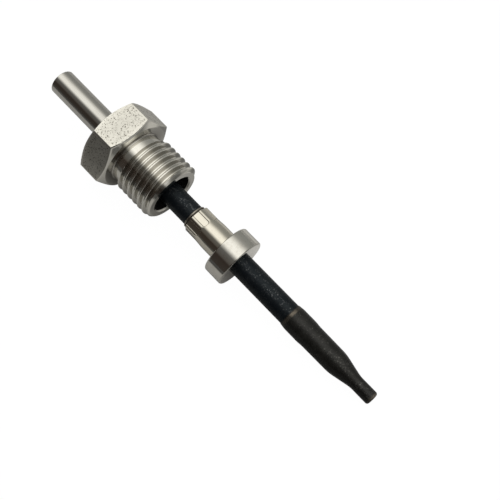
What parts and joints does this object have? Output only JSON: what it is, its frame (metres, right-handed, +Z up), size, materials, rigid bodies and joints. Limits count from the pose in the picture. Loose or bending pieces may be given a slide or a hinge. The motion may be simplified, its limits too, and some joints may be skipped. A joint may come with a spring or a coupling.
{
  "type": "exhaust gas temperature sensor",
  "caption": "Slim metal temperature probe with a closed tapered tip, a crimped stop collar and a loose hexagon union nut that screws into an exhaust boss.",
  "frame": {"origin": "middle of the lying sensor's box, on the bench", "axes": "+X along the sensor towards its tip, level with the bench; +Z up; the sensor's own axis dips 4.8 degrees towards the tip, because it lies on the nut's flat and the collar"},
  "size_m": [0.0934, 0.0196, 0.0175],
  "materials": {
    "nut_steel": "satin",
    "collar_steel": "satin",
    "tube_steel": "polished",
    "sheath_black": "matte",
    "cap_black": "matte",
    "grommet_rubber": "matte",
    "mineral": "matte",
    "wire_metal": "satin",
    "seal_glass": "gloss",
    "chip_ceramic": "matte",
    "cement": "matte",
    "barrel_metal": "satin",
    "sleeve_plastic": "matte"
  },
  "bodies": {
    "probe": {"stop_collar": "collar_steel", "sheath_tube": "sheath_black", "tip_cap": "cap_black", "rear_tube": "tube_steel", "rear_grommet": "grommet_rubber", "sheath_insulation": "mineral", "conductor_1": "wire_metal", "conductor_2": "wire_metal", "end_seal": "seal_glass", "sensing_chip": "chip_ceramic", "chip_glaze": "seal_glass", "chip_lead_1": "wire_metal", "chip_lead_2": "wire_metal", "twin_bore_insulator": "chip_ceramic", "cap_cement": "cement", "crimp_barrel_1": "barrel_metal", "crimp_barrel_2": "barrel_metal", "splice_sleeve_1": "sleeve_plastic", "splice_sleeve_2": "sleeve_plastic"},
    "nut": {"union_nut": "nut_steel"}
  },
  "joints": [
    {"name": "nut_slide", "type": "slide", "parent": "probe", "child": "nut", "axis": [0.9965, 0, -0.0834], "range_m": [-0.017, 0.016]}
  ]
}
